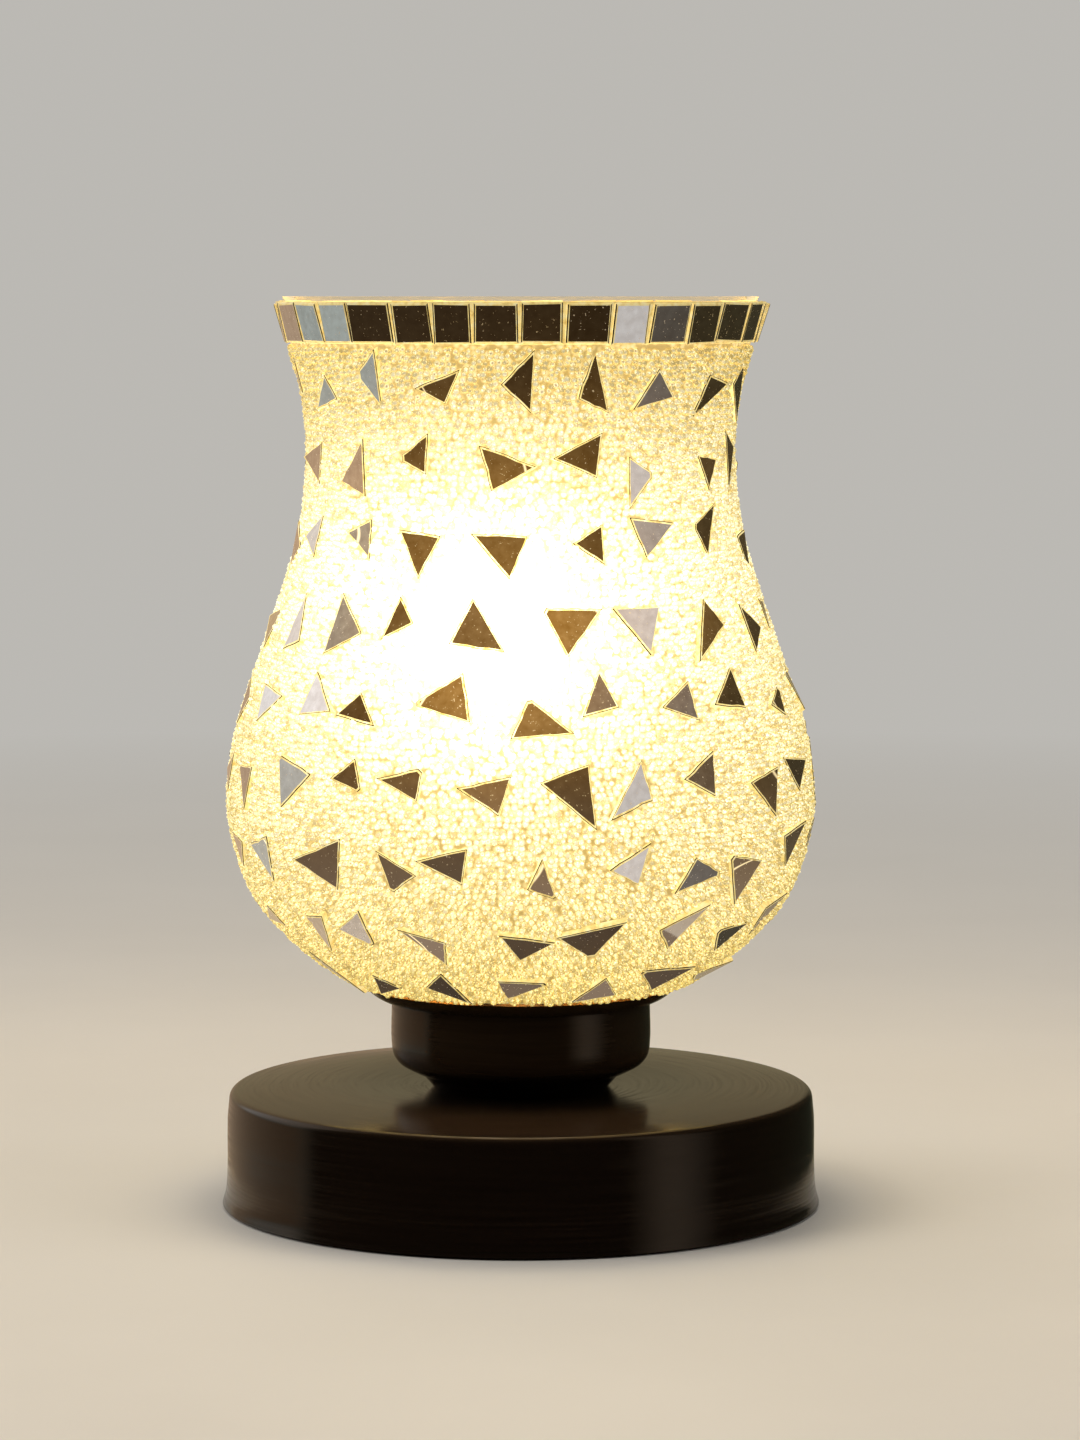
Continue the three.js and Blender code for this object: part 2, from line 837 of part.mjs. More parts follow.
// The neutral core runs straight through, round the posts and the rocker.
function neutralLink() {
  const path = [
    [-21.2, 1.1, SWITCH.parting],
    [-18, 5.4, 6],
    [0, 7.6, 5],
    [18, 5.4, 6],
    [21.2, 1.1, SWITCH.parting],
  ];
  return part("neutral_link", swept(path, 0.8, 16, 6), BLUE_WIRE);
}

function cordSwitch() {
  const group = assembly(
    "cord_switch",
    switchBase(),
    switchCover(),
    switchRocker(),
    rockerPin(),
    switchScrew("switch_screw_left", -SWITCH.postX),
    switchScrew("switch_screw_right", SWITCH.postX),
    fixedContact(),
    springContact(),
    liveLead("live_lead_in", -1),
    liveLead("live_lead_out", 1),
    neutralLink(),
  );
  group.position.y = SWITCH.y;
  return group;
}

// ---------------------------------------------------------------- plug

// A flat moulded plug: full width at the pins, tapering back to the cord.
function plugBody() {
  const { length, faceWidth, cordWidth, height } = PLUG;
  const bevel = 1.5;
  const shoulder = 16;
  const [wide, narrow] = [faceWidth / 2 - bevel, cordWidth / 2 - bevel];
  const outline = new THREE.Shape()
    .moveTo(bevel, -wide)
    .lineTo(shoulder - 3, -wide)
    .quadraticCurveTo(shoulder + 2, -wide, shoulder + 5, -wide + 3)
    .lineTo(length - bevel, -narrow)
    .lineTo(length - bevel, narrow)
    .lineTo(shoulder + 5, wide - 3)
    .quadraticCurveTo(shoulder + 2, wide, shoulder - 3, wide)
    .lineTo(bevel, wide);
  const body = new THREE.ExtrudeGeometry(outline, {
    depth: height - 2 * bevel,
    bevelThickness: bevel,
    bevelSize: bevel,
    bevelSegments: 2,
    curveSegments: 4,
  }).translate(0, 0, bevel);
  const middle = height / 2;
  const sockets = [-1, 1].map((side) =>
    bar("x", PIN.radius + GAP, -1, PIN.buried).translate(0, (side * PIN.spacing) / 2, middle),
  );
  const cordSocket = bar("x", CORD.hole, length - 8, length + 1, 16).translate(0, 0, middle);
  return part("plug_body", cut(body, ...sockets, cordSocket), BLACK_PLASTIC);
}

function plugPin(name, side) {
  const pin = turned(
    [
      [0, -PIN.length],
      [PIN.radius - 1, -PIN.length],
      [PIN.radius, -PIN.length + 1.5],
      [PIN.radius, PIN.buried - GAP],
      [0, PIN.buried - GAP],
    ],
    12,
  );
  pin.rotateY(Math.PI / 2).translate(0, (side * PIN.spacing) / 2, PLUG.height / 2);
  return part(name, pin, NICKEL);
}

function plug() {
  const group = assembly(
    "plug",
    plugBody(),
    plugPin("plug_pin_near", -1),
    plugPin("plug_pin_far", 1),
  );
  group.position.set(PLUG.cordX - PLUG.length, PLUG.y, 0);
  return group;
}

// ---------------------------------------------------------------- the whole lamp

const lamp = assembly(
  "mosaic_table_lamp",
  assembly(
    "stand",
    feltPad(),
    baseBoard(),
    baseShell(),
    cordGrommet(),
    neckCollar(),
    shadeCup(),
    rodAndNuts(),
  ),
  lampHolder(),
  clampingRing(),
  assembly("shade", glassShade(), mosaicCoat(), rimTileBand()),
  bulb(),
  assembly("supply", lampCord(), cordSwitch(), plugCord(), plug()),
);

export default lamp;
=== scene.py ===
"""A lit mosaic glass table lamp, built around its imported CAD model. Everything is in metres."""

import json
import math

import bpy
import numpy as np
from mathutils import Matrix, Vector
from mathutils.bvhtree import BVHTree


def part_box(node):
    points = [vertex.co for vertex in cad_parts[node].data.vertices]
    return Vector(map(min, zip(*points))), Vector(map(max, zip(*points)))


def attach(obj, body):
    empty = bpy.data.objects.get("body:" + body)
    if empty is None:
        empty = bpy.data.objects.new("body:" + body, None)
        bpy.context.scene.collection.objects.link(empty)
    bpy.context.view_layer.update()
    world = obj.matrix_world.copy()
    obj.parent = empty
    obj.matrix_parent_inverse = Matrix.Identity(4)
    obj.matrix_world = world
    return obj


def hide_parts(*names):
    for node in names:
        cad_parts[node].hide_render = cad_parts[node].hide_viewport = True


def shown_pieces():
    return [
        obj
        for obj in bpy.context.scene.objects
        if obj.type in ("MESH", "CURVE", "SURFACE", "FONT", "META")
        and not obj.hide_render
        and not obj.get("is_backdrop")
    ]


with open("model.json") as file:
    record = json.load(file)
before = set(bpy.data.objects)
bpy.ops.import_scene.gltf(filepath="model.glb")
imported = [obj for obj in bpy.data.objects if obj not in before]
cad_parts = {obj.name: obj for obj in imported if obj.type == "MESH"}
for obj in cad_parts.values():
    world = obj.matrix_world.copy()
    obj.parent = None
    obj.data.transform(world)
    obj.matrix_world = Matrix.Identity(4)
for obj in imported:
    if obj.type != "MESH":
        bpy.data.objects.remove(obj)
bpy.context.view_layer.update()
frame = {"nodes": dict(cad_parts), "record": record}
rng = np.random.default_rng(41)
MM = 0.001
BACKDROP = (0.50, 0.485, 0.455)
BULB_COLOUR = (1.0, 0.74, 0.38)

# ---------------------------------------------------------------- sizes taken from the frame

COAT_LOW, COAT_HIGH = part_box("mosaic_coat")
BAND_LOW, BAND_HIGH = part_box("rim_tile_band")
GLOBE_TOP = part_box("bulb_glass")[1].z
GLOW_CENTRE = Vector((-7 * MM, 0, GLOBE_TOP - 27 * MM))
CUP_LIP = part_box("shade_cup")[1].x - 5 * MM

# ---------------------------------------------------------------- sizes of what the frame leaves plain

BEAD = {"pitch": 1.58 * MM, "radius": 0.84 * MM, "sides": 8}
CHIP = {
    "pitch": 19.2 * MM,
    "thickness": 1.8 * MM,
    "proud": 0.4 * MM,  # how far the face stands out of the coat
    "line": 0.14 * MM,  # width of the dark line round the bevel
    "edge": 0.3 * MM,  # width of the bevel round the face
}
TILE = {
    "count": 33,
    "size": 9.9 * MM,
    "thickness": 1.8 * MM,
    "gap": 0.6 * MM,  # grout between two tiles
    "line": 0.3 * MM,  # from the tile's side to its bevel
    "edge": 0.5 * MM,  # from the tile's side to its face
}
TILE_LEAN = math.radians(16)
EDGE_ROUNDING = {
    "switch_base": 0.5 * MM,
    "switch_cover": 0.8 * MM,
    "switch_rocker": 0.4 * MM,
    "plug_body": 0.5 * MM,
    "cord_grommet": 0.4 * MM,
}
SMALL_ROUNDING = 0.15 * MM
SEGMENTS = 160  # round a turned piece
SHARP_BEND = 38  # degrees: a gentler bend in a turned outline becomes a curve
SHARP_EDGE = math.radians(40)
TOUCHING = 1e-6  # points closer than this are one point

# ---------------------------------------------------------------- shader tools


class Shader:
    """A node material or world, written as nested calls."""

    def __init__(self, name, kind="materials"):
        self.material = getattr(bpy.data, kind).new(name)
        self.material.use_nodes = True
        self.nodes = self.material.node_tree.nodes
        self.links = self.material.node_tree.links
        self.nodes.clear()

    def add(self, kind, inputs=None, output=0, **settings):
        """Adds a node, sets it up, feeds its inputs and returns one of its outputs."""
        node = self.nodes.new(kind)
        for key, value in settings.items():
            setattr(node, key, value)
        for key, value in (inputs or {}).items():
            if isinstance(value, bpy.types.NodeSocket):
                self.links.new(value, node.inputs[key])
            else:
                node.inputs[key].default_value = value
        return node.outputs[output] if len(node.outputs) else node

    def math(self, operation, a, b=0.0, c=0.0):
        return self.add("ShaderNodeMath", {0: a, 1: b, 2: c}, operation=operation)

    def vector(self, operation, a, b=(0, 0, 0), output=0):
        return self.add("ShaderNodeVectorMath", {0: a, 1: b}, output, operation=operation)

    def mix(self, factor, a, b, blend="MIX"):
        inputs = {0: factor, 6: rgba(a), 7: rgba(b)}
        return self.add("ShaderNodeMix", inputs, 2, data_type="RGBA", blend_type=blend)

    def ramp(self, factor, *stops):
        output = self.add("ShaderNodeValToRGB", {0: factor})
        elements = output.node.color_ramp.elements
        for index, (place, colour) in enumerate(stops):
            element = elements[index] if index < 2 else elements.new(place)
            element.position = place
            element.color = rgba(colour)
        return output

    def spread(self, value, low, high, to_low=0.0, to_high=1.0):
        """A value between `low` and `high` spread evenly from `to_low` to `to_high`, and held beyond."""
        inputs = {0: value, 1: low, 2: high, 3: to_low, 4: to_high}
        return self.add("ShaderNodeMapRange", inputs)

    def noise(self, scale, detail=3.0, vector=None):
        inputs = {"Vector": vector or self.place(), "Scale": scale, "Detail": detail}
        return self.add("ShaderNodeTexNoise", inputs)

    def place(self):
        """The point being shaded, in metres from the origin."""
        return self.add("ShaderNodeTexCoord", output="Object")

    def stored(self, name):
        """A value that the mesh holds at its points."""
        return self.add("ShaderNodeAttribute", output="Fac", attribute_name=name)

    def bump(self, height, strength, distance=0.2 * MM):
        inputs = {"Height": height, "Strength": strength, "Distance": distance}
        return self.add("ShaderNodeBump", inputs)

    def principled(self, **inputs):
        named = {key.replace("_", " "): value for key, value in inputs.items()}
        return self.add("ShaderNodeBsdfPrincipled", named)

    def finish(self, surface, output="ShaderNodeOutputMaterial"):
        self.add(output, {"Surface": surface})
        return self.material


def rgba(colour):
    """A plain colour made opaque; anything else is passed on."""
    if isinstance(colour, tuple) and len(colour) == 3:
        return (*colour, 1.0)
    return colour


def round_places(s):
    """Distance from the lamp's axis, height, and a little of the angle round it, so that a noise of these
    runs round the axis as marks left by spinning do."""
    metres_per_radian = 0.0015
    x, y, z = (s.add("ShaderNodeSeparateXYZ", {0: s.place()}, axis) for axis in range(3))
    radius = s.math("SQRT", s.math("ADD", s.math("MULTIPLY", x, x), s.math("MULTIPLY", y, y)))
    turn = s.math("MULTIPLY", s.math("ARCTAN2", y, x), metres_per_radian)
    return s.add("ShaderNodeCombineXYZ", {0: radius, 1: z, 2: turn})


def glow(s, reach):
    """1 where the line of sight passes through the glow's centre, fading out over about twice `reach`."""
    geometry = s.add("ShaderNodeNewGeometry").node
    to_bulb = s.vector("SUBTRACT", tuple(GLOW_CENTRE), geometry.outputs["Position"])
    across = s.vector("CROSS_PRODUCT", to_bulb, geometry.outputs["Incoming"])
    distance = s.vector("LENGTH", across, output="Value")
    share = s.math("POWER", s.math("DIVIDE", distance, reach), 2.0)
    return s.math("EXPONENT", s.math("MULTIPLY", share, -1.0))


def lamp_light(s):
    """How much brighter the shade is towards the bulb: a hot core inside a wide halo."""
    core = s.math("MULTIPLY", glow(s, reach=28 * MM), 1.8)
    return s.math("MULTIPLY_ADD", glow(s, reach=62 * MM), 1.0, core)


def facing(s):
    """1 where the surface faces the eye, 0 where it turns edge-on."""
    return s.math("SUBTRACT", 1.0, s.add("ShaderNodeLayerWeight", {"Blend": 0.5}, "Facing"))


def height_share(s):
    """0 at the foot of the mosaic, 1 at its top."""
    z = s.add("ShaderNodeSeparateXYZ", {0: s.place()}, 2)
    return s.spread(z, COAT_LOW.z, COAT_HIGH.z)


# ---------------------------------------------------------------- finishes


def bead_glass():
    """A bead glows with painted light from the bulb: bright in its middle and painted dark gold round its
    rim, where it turns edge-on. Its `tone` makes it lighter or darker than its neighbours, and its `crown`
    is 1 at its tip."""
    s = Shader("bead_glass")
    tone, crown = s.stored("tone"), s.stored("crown")
    front = facing(s)
    # Painted light through the bead: brightest where it faces the eye or at its tip, dark gold where it
    # turns edge-on.
    lens = s.ramp(
        s.math("MAXIMUM", front, s.math("MULTIPLY", crown, 0.92)),
        (0.0, (0.10, 0.050, 0.006)),
        (0.48, (0.32, 0.21, 0.04)),
        (0.66, (0.70, 0.56, 0.20)),
        (0.80, (1.0, 0.92, 0.58)),
        (0.95, (1.0, 0.97, 0.80)),
    )
    height = height_share(s)
    # The painted glow's colour by height: deep yellow at the foot, palest around the upper middle, warmer
    # again at the top.
    tint = s.ramp(
        height,
        (0.0, (1.0, 0.86, 0.46)),
        (0.28, (1.0, 0.96, 0.84)),
        (0.75, (1.0, 1.0, 0.97)),
        (1.0, (1.0, 0.92, 0.70)),
    )
    colour = s.mix(1.0, lens, tint, "MULTIPLY")
    core = glow(s, reach=48 * MM)
    colour = s.mix(s.math("MULTIPLY", core, 0.85), colour, (1.0, 0.98, 0.91))
    hole = s.math("MULTIPLY", s.spread(front, 0.93, 0.96), s.spread(tone, 0.86, 0.90))
    colour = s.mix(s.math("MULTIPLY", hole, s.math("SUBTRACT", 0.8, core)), colour, (0.30, 0.16, 0.02))
    golden = s.spread(tone, 0.35, 0.0, 0.0, 0.65)
    colour = s.mix(golden, colour, (0.90, 0.62, 0.20))
    # Painted glints from a fine noise, on a painted glow that is stronger towards the bulb and dimmer near
    # the top.
    sparkle = s.spread(s.noise(2600, 2), 0.55, 0.66, 0.0, 1.3)
    dimmer_top = s.spread(height, 0.68, 0.95, 1.0, 0.62)
    level = s.math("ADD", s.math("MULTIPLY_ADD", tone, 0.52, 0.27), lamp_light(s))
    level = s.math("MULTIPLY", s.math("ADD", level, sparkle), dimmer_top)
    return s.finish(
        s.principled(
            Base_Color=rgba((0.36, 0.28, 0.08)),
            Roughness=0.12,
            Emission_Color=colour,
            Emission_Strength=level,
        )
    )


def resin():
    """The pale resin that the beads sit in, marked by their backs. It glows with painted light from the
    bulb, brighter towards it, in a colour that darkens along the lines between the bead backs.
    """
    s = Shader("resin_between_beads")
    cells = s.add("ShaderNodeTexVoronoi", {"Vector": s.place(), "Scale": 1 / BEAD["pitch"]}, "Distance")
    grain = s.math("MULTIPLY_ADD", s.noise(900, 4), 0.5, s.math("SUBTRACT", 0.55, cells))
    colour = s.ramp(
        grain,
        (0.15, (0.46, 0.31, 0.07)),
        (0.4, (0.84, 0.65, 0.24)),
        (0.65, (1.0, 0.86, 0.48)),
    )
    core = glow(s, reach=27 * MM)
    colour = s.mix(s.math("MULTIPLY", core, 0.8), colour, (1.0, 0.90, 0.60))
    level = s.math("ADD", 0.5, lamp_light(s))
    return s.finish(
        s.principled(
            Base_Color=rgba((0.4, 0.33, 0.2)),
            Roughness=0.35,
            Emission_Color=colour,
            Emission_Strength=level,
            Normal=s.bump(grain, 0.5),
        )
    )


def mirror(name, leak, flaws):
    """Silvered glass. A little of the bulb's light leaks through its backing, painted as a brown glow;
    pieces near the foot of the shade carry a painted reflection of the lit table; specks of dried resin sit
    on the glass and some pieces have a flaw line, both glowing with painted light. `leak` and `flaws` say
    how strong the leak and the lines are."""
    s = Shader(name)
    waves = s.noise(60, 2)
    film = s.noise(500, 4)
    tone = s.stored("tone")
    core = s.math("MULTIPLY", glow(s, reach=46 * MM), s.math("MULTIPLY_ADD", tone, 1.0, 0.6))
    # Painted reflection of the lit table: chips low on the shade glow greyer and brighter.
    low = s.spread(height_share(s), 0.40, 0.12)
    brown = s.ramp(film, (0.3, (0.24, 0.11, 0.018)), (0.8, (0.36, 0.19, 0.05)))
    brown = s.mix(low, brown, (0.35, 0.25, 0.17))
    specks = s.spread(s.noise(1700, 2), 0.66, 0.74)
    bend = s.math("ABSOLUTE", s.math("SUBTRACT", s.noise(38, 0), 0.5))
    flaw = s.math("MULTIPLY", s.spread(bend, 0.007, 0.002), s.spread(tone, 0.70, 0.72))
    # The resin specks and flaw lines are real marks; the light they give off is painted.
    bright = s.math("MAXIMUM", s.math("MULTIPLY", specks, 0.45), s.math("MULTIPLY", flaw, flaws))
    table = s.math("MULTIPLY_ADD", s.math("MULTIPLY", tone, low), 0.7, 0.05)
    level = s.math("MULTIPLY_ADD", core, leak, table)
    rough = s.math("ADD", s.spread(film, 0.3, 0.8, 0.02, 0.09), s.math("MULTIPLY", specks, 0.4))
    return s.finish(
        s.principled(
            Base_Color=s.ramp(film, (0.35, (0.72, 0.70, 0.70)), (0.75, (0.86, 0.86, 0.88))),
            Metallic=1.0,
            Roughness=rough,
            Normal=s.bump(waves, 0.15),
            Emission_Color=s.mix(bright, brown, (1.0, 0.80, 0.42)),
            Emission_Strength=s.math("ADD", level, bright),
        )
    )


def glowing_edge(name, level):
    """The cut edge of glass that carries the bulb's light, `level` bright where the bulb is far."""
    s = Shader(name)
    colour = s.ramp(
        s.noise(700, 3),
        (0.3, (0.62, 0.40, 0.07)),
        (0.5, (1.0, 0.78, 0.26)),
        (0.7, (1.0, 0.93, 0.55)),
    )
    return s.finish(
        s.principled(
            Base_Color=rgba((0.5, 0.4, 0.2)),
            Roughness=0.2,
            Emission_Color=colour,
            Emission_Strength=s.math("ADD", level, lamp_light(s)),
        )
    )


def clear_shade_glass():
    """Thin clear glass: a reflection on top of whatever is behind it."""
    s = Shader("clear_shade_glass")
    ripples = s.bump(s.noise(45, 2), 0.2)
    grazing = s.math("POWER", s.math("SUBTRACT", 1.0, facing(s)), 5.0)
    front = s.math("SUBTRACT", 1.0, s.add("ShaderNodeNewGeometry", output="Backfacing"))
    rim = s.math("MULTIPLY", s.math("MULTIPLY_ADD", grazing, 0.7, 0.04), front)
    gloss = s.add("ShaderNodeBsdfGlossy", {"Color": rgba((1, 1, 1)), "Roughness": 0.04, "Normal": ripples})
    clear = s.add("ShaderNodeBsdfTransparent", {"Color": rgba((0.97, 0.95, 0.9))})
    return s.finish(s.add("ShaderNodeMixShader", {0: rim, 1: clear, 2: gloss}))


def lit_bulb_glass():
    """Frosted glass, whitest and brightest in its middle."""
    s = Shader("lit_bulb_glass")
    core = glow(s, reach=20 * MM)
    colour = s.mix(core, BULB_COLOUR, (1.0, 0.95, 0.82))
    level = s.math("ADD", 1.6, s.math("MULTIPLY", core, 6.0))
    dust = s.noise(300, 3)
    return s.finish(
        s.principled(
            Base_Color=rgba((0.9, 0.88, 0.82)),
            Roughness=s.spread(dust, 0.3, 0.7, 0.2, 0.4),
            Emission_Color=colour,
            Emission_Strength=level,
        )
    )


def enamel(name, dark, light, lip=1.0):
    """Satin black-brown enamel over spun metal, with faint marks running round it. On a lip wider than
    `lip`, the faces that do not turn downwards are copper metal, a painted reflection of the shade's glow."""
    s = Shader(name)
    marks = s.noise(1500, 5, round_places(s))
    cloud = s.noise(25, 3)
    colour = s.mix(marks, dark, light)
    copper = s.ramp(cloud, (0.4, (0.13, 0.065, 0.028)), (0.6, (0.46, 0.27, 0.12)))
    radius = s.add("ShaderNodeSeparateXYZ", {0: round_places(s)}, 0)
    upward = s.add("ShaderNodeSeparateXYZ", {0: s.add("ShaderNodeNewGeometry", output="Normal")}, 2)
    # Painted reflection: the copper stands in for the shade's warm glow caught on the lip.
    lip_glow_sheen = s.math("MULTIPLY", s.spread(radius, lip, lip + 1 * MM), s.spread(upward, -0.3, 0.1))
    rough = s.math("ADD", s.spread(marks, 0.35, 0.65, 0.07, 0.21), s.spread(cloud, 0.3, 0.7, 0.0, 0.04))
    return s.finish(
        s.principled(
            Base_Color=s.mix(lip_glow_sheen, colour, copper),
            Metallic=lip_glow_sheen,
            Roughness=rough,
            Specular_IOR_Level=0.36,
            Specular_Tint=rgba((1.0, 0.75, 0.54)),
            Normal=s.bump(marks, 0.3, 0.05 * MM),
        )
    )


def plain(name, dark, light, roughness, metallic=0.0, scale=400, bumpiness=0.15, coat=0.0):
    """A finish with a fine grain between two tones."""
    s = Shader(name)
    grain = s.noise(scale, 5)
    return s.finish(
        s.principled(
            Base_Color=s.ramp(grain, (0.3, dark), (0.7, light)),
            Metallic=metallic,
            Roughness=s.spread(grain, 0.3, 0.7, roughness * 0.8, min(1.0, roughness * 1.2)),
            Coat_Weight=coat,
            Normal=s.bump(grain, bumpiness, 0.1 * MM),
        )
    )


FINISH = {
    "felt": plain("felt", (0.012, 0.009, 0.008), (0.035, 0.027, 0.022), 0.95, scale=1800, bumpiness=0.9),
    "fibreboard": plain("fibreboard", (0.20, 0.12, 0.055), (0.34, 0.22, 0.11), 0.85, scale=900),
    "bronze_enamel": enamel("bronze_enamel", (0.0028, 0.0018, 0.0012), (0.0105, 0.0065, 0.0042)),
    "rubber": plain("rubber", (0.006, 0.006, 0.006), (0.014, 0.014, 0.014), 0.7),
    "steel": plain("steel", (0.38, 0.39, 0.40), (0.58, 0.58, 0.58), 0.3, 1.0),
    "black_plastic": plain("black_plastic", (0.006, 0.006, 0.0065), (0.013, 0.013, 0.014), 0.38, scale=2200),
    "porcelain": plain("porcelain", (0.74, 0.73, 0.69), (0.84, 0.83, 0.8), 0.2, coat=0.5),
    "nickel": plain("nickel", (0.50, 0.49, 0.46), (0.66, 0.64, 0.60), 0.25, 1.0),
    "brass": plain("brass", (0.52, 0.33, 0.10), (0.70, 0.47, 0.17), 0.28, 1.0),
    "brown_wire": plain("brown_wire", (0.08, 0.03, 0.01), (0.13, 0.05, 0.02), 0.4),
    "blue_wire": plain("blue_wire", (0.01, 0.06, 0.28), (0.02, 0.09, 0.38), 0.4),
    "fibre": plain("fibre", (0.18, 0.03, 0.015), (0.28, 0.05, 0.025), 0.8, scale=1200),
    "shade_glass": clear_shade_glass(),
    "bead_glass": bead_glass(),
    "mirror_tiles": mirror("mirror_tiles", 0.35, 0.0),
    "frosted_glass": lit_bulb_glass(),
    "clear_glass": clear_shade_glass(),
    "tungsten": plain("tungsten", (0.25, 0.25, 0.25), (0.4, 0.4, 0.4), 0.4, 1.0),
    "cord_sheath": plain("cord_sheath", (0.007, 0.007, 0.007), (0.016, 0.016, 0.016), 0.42, scale=1500),
}
RESIN = resin()
CUP_ENAMEL = enamel("cup_enamel", (0.009, 0.0055, 0.003), (0.022, 0.0135, 0.0075), CUP_LIP)
CHIP_MIRROR = mirror("mirror_chips", 1.0, 0.8)
CHIP_EDGE = glowing_edge("chip_edges", 0.45)
CHIP_LINE = plain("chip_outlines", (0.02, 0.012, 0.005), (0.07, 0.04, 0.012), 0.25)
RIM_EDGE = glowing_edge("rim_edges", 0.3)
MOUTH_EDGE = glowing_edge("mouth_edge", 0.95)

# ---------------------------------------------------------------- mesh tools


def mesh_object(name, verts, faces, materials, face_material=None, smooth=True):
    """A mesh from an array of points and a list of faces."""
    mesh = bpy.data.meshes.new(name)
    mesh.from_pydata([tuple(v) for v in verts], [], [tuple(int(i) for i in f) for f in faces])
    for material in materials:
        mesh.materials.append(material)
    if face_material is not None:
        mesh.polygons.foreach_set("material_index", np.asarray(face_material, np.int32))
    mesh.polygons.foreach_set("use_smooth", np.full(len(mesh.polygons), smooth))
    mesh.update()
    made = bpy.data.objects.new(name, mesh)
    bpy.context.scene.collection.objects.link(made)
    return made


def place(obj, body, slot, *nodes):
    """Fixes a piece to its body and hides the CAD nodes that it stands for. `slot` is not used."""
    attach(obj, body)
    if nodes:
        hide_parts(*nodes)


def section(node):
    """The (radius, height) outline that a turned CAD node was made from, and whether it is closed."""
    mesh = frame["nodes"][node].data
    keys = [(round(-v.co.y, 6), round(v.co.z, 6)) for v in mesh.vertices]
    # The outline is read where the mesh meets the plane x = 0 on its -Y side.
    on_cut = [abs(v.co.x) < TOUCHING and v.co.y < TOUCHING for v in mesh.vertices]
    near = {}
    for edge in mesh.edges:
        a, b = edge.vertices
        if on_cut[a] and on_cut[b] and keys[a] != keys[b]:
            near.setdefault(keys[a], set()).add(keys[b])
            near.setdefault(keys[b], set()).add(keys[a])
    ends = sorted(key for key, others in near.items() if len(others) == 1)
    start = ends[0] if ends else min(near, key=lambda key: (key[1], key[0]))
    path, last = [start], None
    while True:
        onward = sorted(near[path[-1]] - {last} - set(path[1:]))
        if not onward or (onward[0] == start and len(path) > 2):
            return path, not ends
        last = path[-1]
        path.append(onward[0])


def rounded(path, closed, sharp=SHARP_BEND, steps=4):
    """The outline with its gentle bends turned into curves; bends over `sharp` degrees stay corners."""
    points = np.array(path, float)
    count = len(points)
    legs = np.roll(points, -1, 0) - points
    lengths = np.maximum(np.linalg.norm(legs, axis=1), 1e-9)
    units = legs / lengths[:, None]
    before = np.roll(units, 1, 0)
    turn = np.degrees(np.arccos(np.clip((units * before).sum(1), -1, 1)))
    out = []
    for i in range(count if closed else count - 1):
        j = (i + 1) % count
        inner = [k for k in (i, j) if closed or 0 < k < count - 1]
        soft = [k in inner and 1 < turn[k] < sharp for k in (i, j)]
        if not any(soft):
            out.append(points[i])
            continue
        tangents = []
        for k, is_soft in zip((i, j), soft):
            mean = units[k] + before[k] if is_soft else units[i]
            tangents.append(mean / np.linalg.norm(mean) * lengths[i])
        for t in np.linspace(0, 1, steps, endpoint=False):
            # The cubic that leaves point i and reaches point j along their tangents.
            h = (2 * t**3 - 3 * t**2 + 1, t**3 - 2 * t**2 + t, -2 * t**3 + 3 * t**2, t**3 - t**2)
            out.append(h[0] * points[i] + h[1] * tangents[0] + h[2] * points[j] + h[3] * tangents[1])
    if not closed:
        out.append(points[-1])
    return np.array(out)


def lathe(name, outline, closed, materials, material_of=None, segments=SEGMENTS):
    """Turns an outline round the lamp's axis. `material_of` picks the material for each leg of it."""
    angles = np.arange(segments) * 2 * math.pi / segments
    x, y = np.sin(angles), -np.cos(angles)
    rows = [np.stack([r * x, r * y, np.full(segments, z)], 1) for r, z in outline]
    faces, chosen = [], []
    count = len(outline)
    for i in range(count if closed else count - 1):
        j = (i + 1) % count
        for k in range(segments):
            m = (k + 1) % segments
            faces.append((i * segments + k, i * segments + m, j * segments + m, j * segments + k))
        chosen += [material_of(outline[i], outline[j]) if material_of else 0] * segments
    made = mesh_object(name, np.concatenate(rows), faces, materials, chosen)
    made.data.set_sharp_from_angle(angle=math.radians(SHARP_BEND))
    made.modifiers.new("weld", "WELD").merge_threshold = TOUCHING
    return made


def returned(name, node, body, slot, finish=None):
    """A smooth piece in place of a turned CAD node."""
    path, closed = section(node)
    made = lathe(name, rounded(path, closed), closed, [finish or FINISH[slot]])
    place(made, body, slot, node)


# ---------------------------------------------------------------- the round metal and plastic parts


def build_turned_parts():
    """The turned CAD nodes again, with more segments and their gentle bends as curves."""
    returned("felt_underside", "felt_pad", "lamp", "felt")
    returned("spun_base", "base_shell", "lamp", "bronze_enamel")
    returned("neck_step", "neck_collar", "lamp", "bronze_enamel")
    returned("spun_cup", "shade_cup", "lamp", "bronze_enamel", CUP_ENAMEL)
    returned("holder_barrel", "holder_shell", "lamp", "black_plastic")
    returned("holder_bottom", "holder_cap", "lamp", "black_plastic")
    returned("clamping_ring", "shade_ring", "ring", "black_plastic")
    returned("ring_packing", "ring_washer", "ring_rise", "fibre")
    returned("lit_globe", "bulb_glass", "bulb", "frosted_glass")


build_turned_parts()

# ---------------------------------------------------------------- shade


def outer_wall(node):
    """(radius, height) points up the outside of a turned node: those that a ray from outside hits first."""
    mesh = frame["nodes"][node].data
    tree = BVHTree.FromPolygons([v.co for v in mesh.vertices], [p.vertices for p in mesh.polygons])
    wall, same_place = [], 0.12 * MM
    path, _ = section(node)
    middle = np.mean([z for _, z in path])
    for radius, height in path:
        inward = 0.05 * MM if height < middle else -0.05 * MM
        hit = tree.ray_cast(Vector((0, -1, height + inward)), Vector((0, 1, 0)))[0]
        if hit and abs(-hit.y - radius) < same_place:
            wall.append((radius, height))
    return sorted(wall, key=lambda point: point[1])


